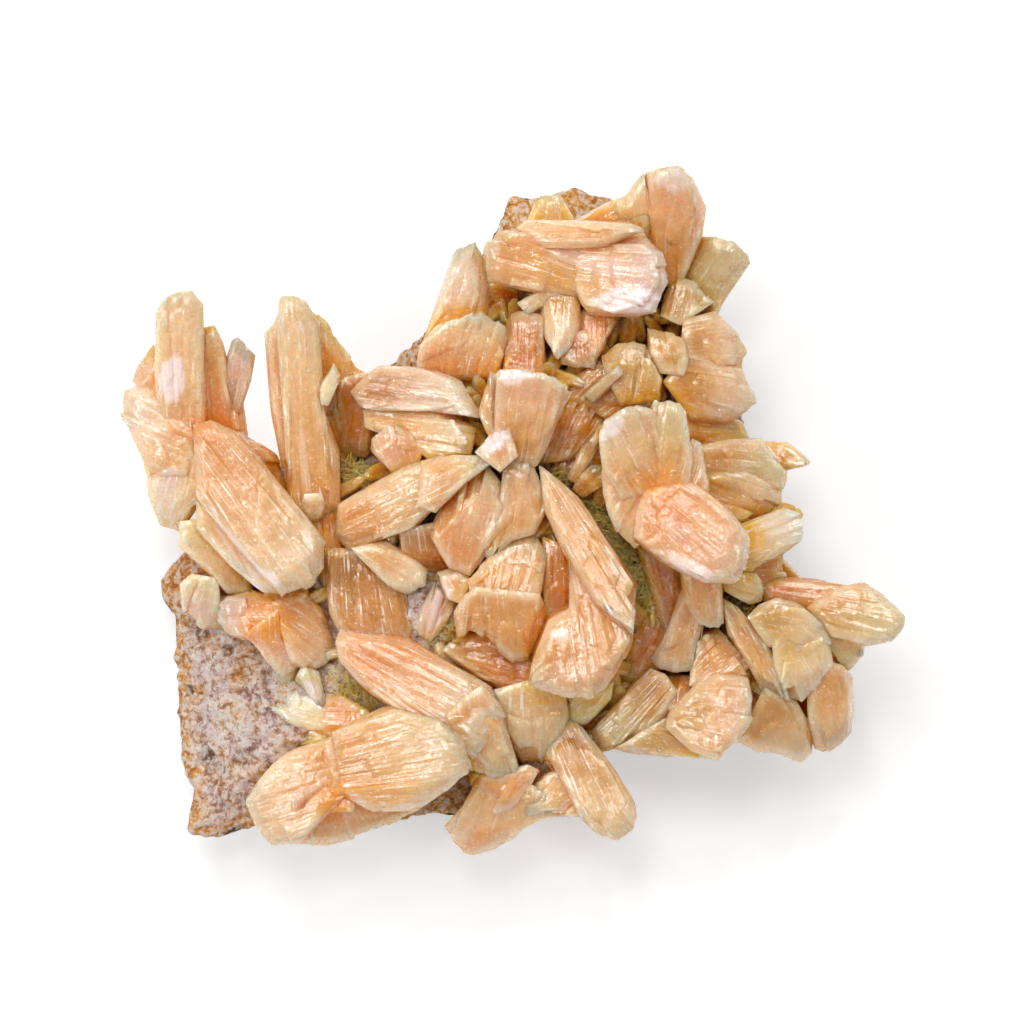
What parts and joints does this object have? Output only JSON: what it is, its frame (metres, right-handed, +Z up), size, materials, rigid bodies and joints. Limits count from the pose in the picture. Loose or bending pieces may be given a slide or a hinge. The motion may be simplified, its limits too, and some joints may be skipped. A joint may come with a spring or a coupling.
{
  "type": "stilbite with mordenite",
  "caption": "Mineral cabinet specimen: sheaves of peach, tabular stilbite crystals on a mordenite druse over a flat-based basalt matrix.",
  "frame": {"origin": "a point on the flat underside of the matrix, under the middle of the specimen", "axes": "+Z up, away from the underside, towards the crystals; +X to the right along the longest side as seen from above; +Y to the back"},
  "size_m": [0.1308, 0.115, 0.0474],
  "materials": {
    "basalt": "rough broken rock",
    "mordenite_druse": "granular sparkling druse with matted fibres",
    "stilbite_peach": "translucent, pearly to glassy, striated",
    "stilbite_cream": "translucent, silky, striated",
    "stilbite_pink": "translucent, pearly, with glittering facets",
    "stilbite_amber": "translucent, glassy",
    "stilbite_green": "translucent, silky, grainy"
  },
  "bodies": {
    "root": {"basalt_matrix": "basalt", "mordenite_crust": "mordenite_druse", "stilbite_rosette": "stilbite_peach", "stilbite_broad_crystal": "stilbite_pink", "stilbite_curved_blade": "stilbite_cream", "stilbite_arch": "stilbite_peach", "stilbite_centre_pair": "stilbite_peach", "stilbite_centre_fan": "stilbite_peach", "stilbite_upper_sheaf": "stilbite_pink", "stilbite_hexagon_blade": "stilbite_peach", "stilbite_upper_right_lumps": "stilbite_amber", "stilbite_honey_blades": "stilbite_amber", "stilbite_top_blade": "stilbite_peach", "stilbite_silky_crystal": "stilbite_cream", "stilbite_right_lump": "stilbite_green", "stilbite_grainy_lump": "stilbite_cream", "stilbite_right_point": "stilbite_cream", "stilbite_pink_fan": "stilbite_pink", "stilbite_amber_plates": "stilbite_amber", "stilbite_green_blades": "stilbite_green", "stilbite_lower_bowtie": "stilbite_peach", "stilbite_long_blade": "stilbite_peach", "stilbite_left_bowtie": "stilbite_peach", "stilbite_tall_blade": "stilbite_peach", "stilbite_left_fan": "stilbite_peach", "stilbite_small_wedges": "stilbite_peach", "stilbite_yellow_blade": "stilbite_cream", "stilbite_bottom_lobes": "stilbite_peach"}
  },
  "joints": []
}
